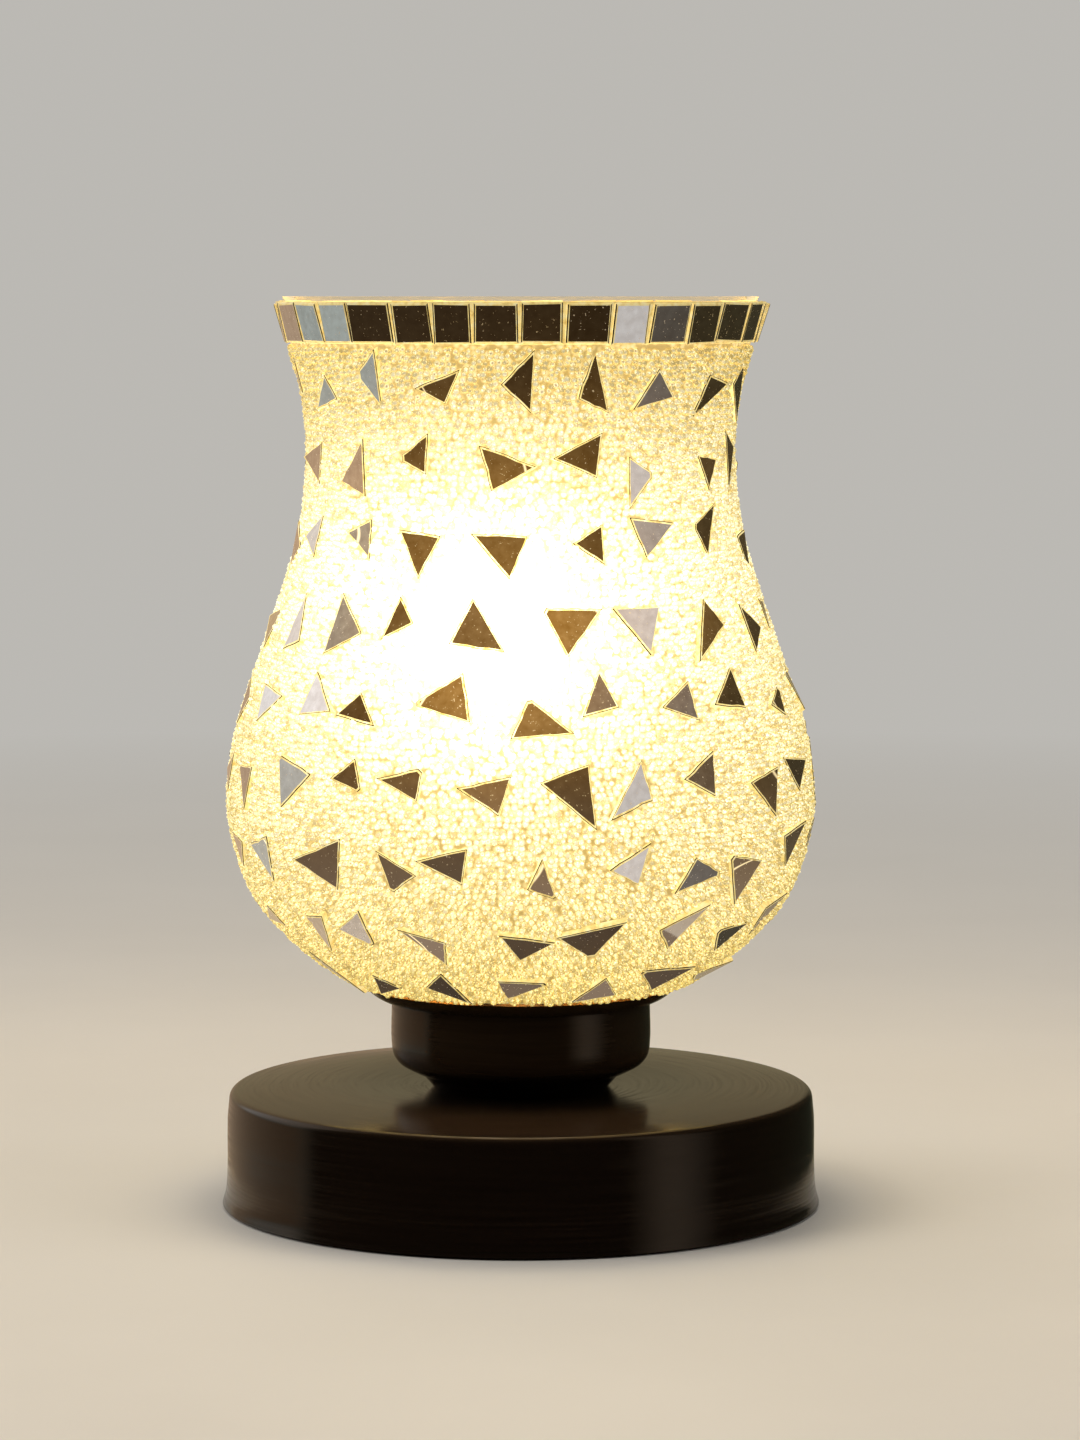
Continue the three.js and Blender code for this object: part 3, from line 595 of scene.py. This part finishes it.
class Wall:
    """A smooth outer wall, carried on straight up to the tile band. A place on it is given by the distance
    along it from its lower edge and the angle round it."""

    def __init__(self, node):
        points = rounded(outer_wall(node), False, sharp=60, steps=12)
        onward = points[-1] - points[-2]
        onward *= (BAND_LOW.z - points[-1][1]) / onward[1]
        self.points = np.vstack([points, points[-1] + onward])
        legs = np.linalg.norm(np.diff(self.points, axis=0), axis=1)
        self.along = np.concatenate([[0], np.cumsum(legs)])
        self.length = self.along[-1]

    def at(self, s):
        """The wall's radius and height."""
        s = np.clip(s, 0, self.length)
        return [np.interp(s, self.along, column) for column in self.points.T]

    def profile(self, s):
        """The wall's radius and height, and its direction upwards as shares of the two."""
        step = 0.5 * MM
        (radius, height), low, high = self.at(s), self.at(s - step), self.at(s + step)
        dr, dz = high[0] - low[0], high[1] - low[1]
        size = np.hypot(dr, dz)
        return radius, height, dr / size, dz / size

    def frame(self, s, angle):
        """Points on the wall with their outward, sideways and upward directions, as arrays."""
        radius, height, dr, dz = self.profile(s)
        out = np.stack([np.sin(angle), -np.cos(angle), np.zeros_like(angle)], -1)
        across = np.stack([np.cos(angle), np.sin(angle), np.zeros_like(angle)], -1)
        axis = np.array([0.0, 0.0, 1.0])
        point = out * radius[..., None] + axis * height[..., None]
        normal = out * dz[..., None] - axis * dr[..., None]
        up = out * dr[..., None] + axis * dz[..., None]
        return point, normal, across, up


def incircle(corners):
    """The middle and the radius of a triangle's inscribed circle."""
    a, b, c = corners
    sides = np.array([np.linalg.norm(b - c), np.linalg.norm(c - a), np.linalg.norm(a - b)])
    area = abs((b[0] - a[0]) * (c[1] - a[1]) - (b[1] - a[1]) * (c[0] - a[0])) / 2
    return (sides[:, None] * corners).sum(0) / sides.sum(), 2 * area / sides.sum()


def chip_corners():
    """A triangle cut from mirror, turned any way round about the middle of its inscribed circle."""
    size = np.array([rng.uniform(9.8, 15.2), rng.uniform(8.2, 12.4)])
    base, height = size * rng.uniform(0.8, 1.12) * MM
    corners = np.array([[0, 0], [base, 0], [rng.uniform(-0.1, 0.7) * base, height]])
    if rng.random() < 0.5:
        corners = (corners * [-1, 1])[::-1]
    middle, inner = incircle(corners)
    turn = rng.uniform(0, 2 * math.pi)
    spin = np.array([[math.cos(turn), -math.sin(turn)], [math.sin(turn), math.cos(turn)]])
    return (corners - middle) @ spin.T, inner


def cut_outline(corners):
    """The triangle as a hand cutter leaves it: uneven sides, blunt corners, sometimes one clipped off."""
    clipped = rng.integers(0, 3) if rng.random() < 0.35 else -1
    outline = []
    for k in range(3):
        here, after, before = corners[k], corners[(k + 1) % 3], corners[k - 1]
        clip = rng.uniform(0.9, 1.7) * MM if k == clipped else 0.15 * MM
        outline.append(here + (before - here) / np.linalg.norm(before - here) * clip)
        outline.append(here + (after - here) / np.linalg.norm(after - here) * clip)
        for share in (0.3, 0.52, 0.75):
            point = here + (after - here) * share
            outline.append(point * (1 + rng.normal(0, 0.11) * MM / np.linalg.norm(point)))
    return np.array(outline)


def scatter_chips(wall):
    """Rows of chips, each row started anywhere and each chip nudged off its place, kept clear of the coat's
    lower edge and of the tile band."""
    chips = []
    rows = int(round(wall.length / CHIP["pitch"]))
    pitch = wall.length / rows
    lowest, highest = 2.2 * MM, wall.length - 1.0 * MM
    for row in range(rows):
        s = (row + 0.5) * pitch
        radius = wall.profile(np.array(s))[0]
        count = int(round(2 * math.pi * radius / CHIP["pitch"]))
        shift = rng.random()
        for i in range(count):
            nudge = rng.uniform(-3.2, 3.2, 2) * MM
            corners, inner = chip_corners()
            room = (lowest - corners[:, 1].min(), highest - corners[:, 1].max())
            chips.append(
                {
                    "s": np.clip(s + nudge[1], *room),
                    "angle": (i + shift) * 2 * math.pi / count + nudge[0] / radius,
                    "corners": corners,
                    "inner": inner,
                    "outline": cut_outline(corners),
                    "tilt": rng.normal(0, 0.05, 2),
                    "off": rng.uniform(-0.2, 0.2, 2) * MM,
                }
            )
    return chips


def prism(layers, base):
    """Faces of a stack of equal polygons: open sides from layer to layer and both ends."""
    count = len(layers[0])
    faces = [tuple(base + i for i in reversed(range(count)))]
    for level in range(len(layers) - 1):
        low, high = base + level * count, base + (level + 1) * count
        for i in range(count):
            j = (i + 1) % count
            faces.append((low + i, low + j, high + j, high + i))
    top = base + (len(layers) - 1) * count
    faces.append(tuple(top + i for i in range(count)))
    return faces


def shrunk(chip, distance):
    """The chip's outline with every side moved in."""
    return chip["outline"] * (1 - distance / chip["inner"])


def build_chips(wall, chips):
    """Chips of mirror: a dark back, a ground side glowing with painted light, a dark line, the bevel glowing
    with painted light too, and the silvered face."""
    verts, faces, kinds = [], [], []
    proud, line, edge = CHIP["proud"], CHIP["line"], CHIP["edge"]
    for chip in chips:
        point, normal, across, up = wall.frame(np.array(chip["s"]), np.array(chip["angle"]))
        layers = [
            (shrunk(chip, -0.1 * MM), proud - CHIP["thickness"]),
            (shrunk(chip, 0), proud - 0.22 * MM),
            (shrunk(chip, line) + chip["off"] * 0.4, proud - 0.05 * MM),
            (shrunk(chip, line + edge) + chip["off"], proud),
        ]
        base = len(verts)
        for shape, lift in layers:
            lean = shape @ chip["tilt"]
            for (u, v), extra in zip(shape, lean):
                verts.append(point + across * u + up * v + normal * (lift + extra))
        faces += prism([shape for shape, _ in layers], base)
        sides = len(chip["outline"])
        kinds += [2] + [1] * sides + [2] * sides + [1] * sides + [0]  # indices in finishes
    finishes = [CHIP_MIRROR, CHIP_EDGE, CHIP_LINE]
    obj = mesh_object("mirror_chips", verts, faces, finishes, kinds, smooth=False)
    add_tone(obj, len(chips))
    place(obj, "lamp", "mirror_tiles")


def add_tone(obj, count):
    """One random shade for each of the equal pieces that a mesh is made of."""
    tone = obj.data.attributes.new("tone", "FLOAT", "POINT")
    repeats = len(obj.data.vertices) // count
    tone.data.foreach_set("value", np.repeat(rng.random(count), repeats).astype(np.float32))


def clear_of_chips(s, angle, radius, chips):
    """Which bead places are off every chip."""
    free = np.ones(len(s), bool)
    margin, reach = 0.4 * MM, 12 * MM
    for chip in chips:
        near = np.abs(s - chip["s"]) < reach
        turn = (angle - chip["angle"] + math.pi) % (2 * math.pi) - math.pi
        near &= np.abs(turn * radius) < reach
        index = np.nonzero(near)[0]
        u, v = turn[index] * radius[index], s[index] - chip["s"]
        inside = np.ones(len(index), bool)
        for k in range(3):
            a, b = chip["corners"][k], chip["corners"][(k + 1) % 3]
            side = b - a
            away = (side[0] * (v - a[1]) - side[1] * (u - a[0])) / np.linalg.norm(side)
            inside &= away > -margin
        free[index[inside]] = False
    return free


def bead_places(wall, chips):
    """Beads lie as close as they will, in no pattern, and end in a ragged line over the cup."""
    pitch = BEAD["pitch"] * 1.0
    row_step, jitter = 0.88 * pitch, 0.28
    lines = np.arange(0.5 * pitch, wall.length - 0.3 * pitch, row_step)
    s, angle = [], []
    for line in lines:
        radius = wall.profile(np.array(line))[0]
        count = int(2 * math.pi * radius / pitch)
        turns = (np.arange(count) + rng.random() + rng.uniform(-jitter, jitter, count)) / count
        angle.append(turns * 2 * math.pi)
        s.append(line + rng.uniform(-jitter, jitter, count) * pitch)
    s = np.clip(np.concatenate(s), 0, wall.length)
    angle = np.concatenate(angle)
    radius = wall.profile(s)[0]
    ragged_edge = (0.9 + 0.45 * np.sin(angle * 23) + 0.35 * np.sin(angle * 57 + 1)) * MM
    free = clear_of_chips(s, angle, radius, chips) & (s > ragged_edge)
    return s[free], angle[free]


def dome():
    """A bead's exposed cap as unit points and faces, its axis along the third coordinate."""
    sides = BEAD["sides"]
    points, faces = [], []
    for half_steps, from_tip in enumerate((math.radians(100), math.radians(52))):
        ring, height = math.sin(from_tip), math.cos(from_tip)
        for k in range(sides):
            turn = 2 * math.pi * (k + half_steps / 2) / sides
            points.append((ring * math.cos(turn), ring * math.sin(turn), height))
    points.append((0, 0, 1))
    for k in range(sides):
        m = (k + 1) % sides
        faces += [(k, m, sides + k), (m, sides + m, sides + k), (sides + k, sides + m, 2 * sides)]
    return np.array(points), np.array(faces)


def build_beads(wall, chips):
    """The beads, a quarter of the way round in each piece, sunk to different depths."""
    s, angle = bead_places(wall, chips)
    turn = angle % (2 * math.pi)
    unit, triangles = dome()
    names = ["beads_front_right", "beads_back_right", "beads_back_left", "beads_front_left"]
    for quarter, name in enumerate(names):
        pick = (turn >= quarter * math.pi / 2) & (turn < (quarter + 1) * math.pi / 2)
        point, normal, across, up = wall.frame(s[pick], angle[pick])
        count = len(point)
        size = BEAD["radius"] * rng.uniform(0.78, 1.2, count)
        lift = rng.uniform(-0.55, -0.12, count) * size
        spin = rng.uniform(0, 2 * math.pi, count)
        x, y = np.cos(spin)[:, None], np.sin(spin)[:, None]
        first, second = across * x + up * y, up * x - across * y
        axes = np.stack([first, second, normal], 1)
        verts = (point + normal * lift[:, None])[:, None] + size[:, None, None] * (unit @ axes)
        faces = triangles[None] + (np.arange(count) * len(unit))[:, None, None]
        obj = mesh_object(name, verts.reshape(-1, 3), faces.reshape(-1, 3), [FINISH["bead_glass"]])
        add_tone(obj, count)
        crown = obj.data.attributes.new("crown", "FLOAT", "POINT")
        crown.data.foreach_set("value", np.tile(unit[:, 2], count).astype(np.float32))
        place(obj, "lamp", "bead_glass", *(["mosaic_coat"] if quarter == 0 else []))


def layer_outline(wall, outer, inner):
    """A thin closed outline between two depths under the wall."""
    s = np.linspace(0, wall.length, 90)
    radius, height, dr, dz = wall.profile(s)
    up, down = (np.stack([radius - dz * depth, height + dr * depth], 1) for depth in (outer, inner))
    return np.concatenate([up, down[::-1]])


def build_glass():
    """The blown glass, with its ground mouth catching the light."""
    path, closed = section("glass_shade")
    mouth = max(z for _, z in path) - 4.5 * MM

    def mouth_or_wall(a, b):
        return int(min(a[1], b[1]) > mouth)

    finishes = [FINISH["shade_glass"], MOUTH_EDGE]
    obj = lathe("blown_glass", rounded(path, closed, steps=6), closed, finishes, mouth_or_wall)
    place(obj, "lamp", "shade_glass", "glass_shade")


def tile_shape(wide, tall):
    """One tile's layers, from half its width and half its height: back, side, start of the bevel, face."""
    half = np.array([wide, tall])
    square = np.array([[-1, -1], [1, -1], [1, 1], [-1, 1]]) * half + rng.normal(0, 0.1 * MM, (4, 2))
    off = rng.uniform(-0.14, 0.14, 2) * MM
    front = TILE["thickness"] / 2
    return [
        (square, -front),
        (square, front - 0.2 * MM),
        (square * (1 - TILE["line"] / half), front - 0.04 * MM),
        (square * (1 - TILE["edge"] / half) + off, front),
    ]


def band_radii():
    """The tiles lean outwards: their distance from the axis at their middle, and how far it differs at their
    lower and upper edges."""
    lean = TILE["size"] / 2 * math.sin(TILE_LEAN)
    clearance = 0.3 * MM
    return BAND_HIGH.x - lean - TILE["thickness"] * math.cos(TILE_LEAN) / 2 - clearance, lean


def build_tiles():
    """Mirror tiles of uneven width, side by side below the mouth, with a dark line down each side. Their
    backs, side walls and upper and lower bevels glow with painted light.
    """
    radius, _ = band_radii()
    height = (BAND_LOW.z + BAND_HIGH.z) / 2
    widths = rng.uniform(0.86, 1.14, TILE["count"])
    widths *= 2 * math.pi / widths.sum()
    turns = np.cumsum(widths) - widths / 2
    verts, faces, kinds = [], [], []
    for turn, width in zip(turns, widths):
        tilt = rng.normal(0, 0.035, 2)
        out = np.array([math.sin(turn), -math.cos(turn), 0])
        across = np.array([math.cos(turn), math.sin(turn), 0])
        axis = np.array([0, 0, 1.0])
        normal = out * math.cos(TILE_LEAN) - axis * math.sin(TILE_LEAN)
        up = out * math.sin(TILE_LEAN) + axis * math.cos(TILE_LEAN)
        centre = out * radius + axis * (height + rng.normal(0, 0.1) * MM)
        layers = tile_shape(width * radius / 2 - TILE["gap"] / 2, TILE["size"] / 2)
        base = len(verts)
        for shape, lift in layers:
            for u, v in shape:
                verts.append(centre + across * u + up * v + normal * (lift + tilt[0] * u + tilt[1] * v))
        faces += prism([shape for shape, _ in layers], base)
        kinds += [1] + [1] * 4 + [1, 2, 1, 2] + [1] * 4 + [0]  # indices in finishes
    finishes = [FINISH["mirror_tiles"], RIM_EDGE, CHIP_LINE]
    obj = mesh_object("rim_tiles", verts, faces, finishes, kinds, smooth=False)
    add_tone(obj, TILE["count"])
    place(obj, "lamp", "mirror_tiles", "rim_tile_band")


def build_grout():
    """The ring of grout between the tiles, from just behind their faces to the glass. It glows with painted
    light, but for its face against the glass, which takes the resin's finish.
    """
    middle, lean = band_radii()
    face = 0.45 * MM
    radii, heights = np.array(outer_wall("glass_shade")).T
    bottom, top = BAND_LOW.z - 0.1 * MM, BAND_HIGH.z - 0.3 * MM
    behind = [np.interp(z, heights, radii) + 0.1 * MM for z in (bottom, top)]
    outline = [
        (behind[0], bottom),
        (middle - lean + face, BAND_LOW.z + 0.1 * MM),
        (middle + lean + face, top),
        (behind[1], top),
    ]

    def inner_or_outer(a, b):
        return int(a[1] == top and b[1] == bottom)

    obj = lathe("rim_grout", np.array(outline), True, [RIM_EDGE, RESIN], inner_or_outer)
    place(obj, "lamp", "bead_glass")


def build_shade():
    """The glass, and on it the coat of resin with its chips and beads and the band of tiles."""
    wall = Wall("mosaic_coat")
    chips = scatter_chips(wall)
    build_chips(wall, chips)
    build_beads(wall, chips)
    coat = lathe("resin_coat", layer_outline(wall, outer=0.6 * MM, inner=1.25 * MM), True, [RESIN])
    place(coat, "lamp", "bead_glass")
    build_glass()
    build_tiles()
    build_grout()


build_shade()

# ---------------------------------------------------------------- the CAD nodes that stay as they are


def dress_cad_nodes():
    """Gives every CAD node its finish, the cords a round section and the rest slightly worn edges."""
    slots = {part["node"]: part["material_slot"] for part in frame["record"]["subparts"]}
    for name, obj in frame["nodes"].items():
        obj.data.materials.clear()
        obj.data.materials.append(FINISH[slots[name]])
        obj.data.polygons.foreach_set("use_smooth", np.ones(len(obj.data.polygons), bool))
        obj.modifiers.new("weld", "WELD").merge_threshold = TOUCHING
        if name.endswith("cord"):
            round_off = obj.modifiers.new("round", "SUBSURF")
            round_off.levels = round_off.render_levels = 2
            continue
        obj.data.set_sharp_from_angle(angle=SHARP_EDGE)
        bevel = obj.modifiers.new("worn_edges", "BEVEL")
        bevel.width = EDGE_ROUNDING.get(name, SMALL_ROUNDING)
        bevel.segments = 2
        bevel.limit_method = "ANGLE"
        bevel.angle_limit = SHARP_EDGE
        bevel.harden_normals = True


dress_cad_nodes()

# ---------------------------------------------------------------- light, floor and camera


def build_world():
    """A pale backdrop for the eye. Mirrors and enamel see a dark room: a grey-green wall on the left that
    turns warm behind the lamp, with a window over it and warm light along its foot, one soft light on the
    right, and a cloth below on the left. Angles are in degrees round the lamp from the eye, to the right."""
    s = Shader("studio", "worlds")
    towards = s.add("ShaderNodeTexCoord", output="Generated")
    x, y, z = (s.add("ShaderNodeSeparateXYZ", {0: towards}, axis) for axis in range(3))
    turn = s.math("ARCTAN2", x, s.math("MULTIPLY", y, -1.0))

    def sector(start, end):
        return s.spread(turn, math.radians(start), math.radians(end))

    wall = [
        (-180, (0.30, 0.255, 0.15)),
        (-158, (0.50, 0.38, 0.23)),
        (-142, (0.46, 0.36, 0.24)),
        (-130, (0.36, 0.40, 0.37)),
        (-96, (0.40, 0.45, 0.42)),
        (-86, (0.022, 0.016, 0.010)),
        (42, (0.014, 0.010, 0.006)),
        (57, (0.62, 0.60, 0.57)),
        (64, (0.62, 0.60, 0.57)),
        (82, (0.020, 0.018, 0.010)),
        (162, (0.030, 0.032, 0.020)),
        (174, (0.29, 0.245, 0.145)),
        (180, (0.30, 0.255, 0.15)),
    ]
    room = s.ramp(sector(-180, 180), *[(0.5 + angle / 360, colour) for angle, colour in wall])
    window = s.math("MULTIPLY", sector(-92, -98), s.spread(z, 0.05, 0.22))
    window = s.math("MULTIPLY", window, sector(-150, -140))
    room = s.mix(window, room, (0.96, 0.93, 0.90))
    ceiling = s.spread(z, 0.6, 0.9)
    room = s.mix(ceiling, room, (0.10, 0.09, 0.07))
    from_foot = s.math("ABSOLUTE", s.math("ADD", z, 0.07))
    warm = s.math("MULTIPLY", s.spread(from_foot, 0.15, 0.10), sector(-88, -98))
    room = s.mix(warm, room, (0.46, 0.33, 0.22))
    cloth = s.math("MULTIPLY", s.spread(z, -0.64, -0.8), s.spread(x, 0.0, -0.12))
    room = s.mix(cloth, room, (0.30, 0.27, 0.24))
    seen = s.mix(s.add("ShaderNodeLightPath", output="Is Camera Ray"), room, BACKDROP)
    background = s.add("ShaderNodeBackground", {"Color": seen})
    bpy.context.scene.world = s.finish(background, "ShaderNodeOutputWorld")


def build_floor():
    """A pale table top that melts into the backdrop. Mirrors only see it close to the lamp."""
    s = Shader("pale_floor")
    grain = s.noise(9, 4)
    table = s.principled(
        Base_Color=s.mix(grain, (0.66, 0.635, 0.60), (0.73, 0.705, 0.67)),
        Roughness=0.55,
        Specular_IOR_Level=0.3,
    )
    reach = s.vector("LENGTH", s.place(), output="Value")
    haze = s.add("ShaderNodeEmission", {"Color": rgba(BACKDROP)})
    table = s.add("ShaderNodeMixShader", {0: s.spread(reach, 0.35, 1.3), 1: table, 2: haze})
    in_mirror = s.add("ShaderNodeLightPath", output="Is Glossy Ray")
    hidden = s.math("MULTIPLY", s.spread(reach, 0.08, 0.11), in_mirror)
    gone = s.add("ShaderNodeBsdfTransparent")
    material = s.finish(s.add("ShaderNodeMixShader", {0: hidden, 1: table, 2: gone}))
    side = 6.0
    verts = [(-side, -side, 0), (side, -side, 0), (side, side, 0), (-side, side, 0)]
    mesh_object("pale_floor", verts, [(0, 1, 2, 3)], [material])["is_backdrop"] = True


def area_light(name, at, aim, size, power, colour):
    """A soft light that mirrors and enamel do not show."""
    light = bpy.data.lights.new(name, "AREA")
    light.shape = "RECTANGLE"
    light.size, light.size_y = size
    light.energy = power
    light.color = colour
    obj = bpy.data.objects.new(name, light)
    obj.location = at
    obj.rotation_euler = (Vector(aim) - Vector(at)).to_track_quat("-Z", "Y").to_euler()
    obj.visible_glossy = False
    bpy.context.scene.collection.objects.link(obj)


def build_lights():
    """Three soft studio lights, and the light that the bulb throws on the table."""
    middle = (0, 0, 0.11)
    area_light("window", (-1.5, -0.5, 1.1), middle, (1.0, 1.3), 14, (1.0, 0.97, 0.93))
    area_light("fill", (1.6, -0.3, 0.9), middle, (0.8, 1.1), 6, (1.0, 0.98, 0.96))
    area_light("overhead", (0, 0.3, 1.9), middle, (1.6, 1.6), 16, (1.0, 0.96, 0.90))
    lamp = bpy.data.lights.new("lamp_glow", "POINT")
    lamp.energy = 2.6
    lamp.color = BULB_COLOUR
    lamp.shadow_soft_size = 0.055
    obj = bpy.data.objects.new("lamp_glow", lamp)
    obj.location = GLOW_CENTRE
    obj.visible_camera = False
    obj.visible_glossy = False
    bpy.context.scene.collection.objects.link(obj)


def let_light_through():
    """The lamp's own light passes its glass and its beads."""
    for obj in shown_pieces():
        if obj.name.startswith(("beads", "resin", "blown", "mirror", "rim", "lit_globe")):
            obj.visible_shadow = False
    for name in ("bulb_stem", "filament", "filament_wire_left", "filament_wire_right"):
        frame["nodes"][name].visible_shadow = False


def build_camera():
    """The eye stands at rim height, about 1.17 m in front, looking slightly down."""
    eye = (0.0048, -1.1717, 0.2265)
    looks_down = 5.115
    camera = bpy.data.cameras.new("camera")
    camera.lens = 117.75
    camera.sensor_width = 36
    obj = bpy.data.objects.new("camera", camera)
    obj.location = eye
    obj.rotation_euler = (math.radians(90 - looks_down), 0, 0)
    bpy.context.scene.collection.objects.link(obj)
    bpy.context.scene.camera = obj


build_world()
build_floor()
build_lights()
let_light_through()
build_camera()

scene = bpy.context.scene
scene.view_settings.view_transform = "Standard"
scene.cycles.use_denoising = True
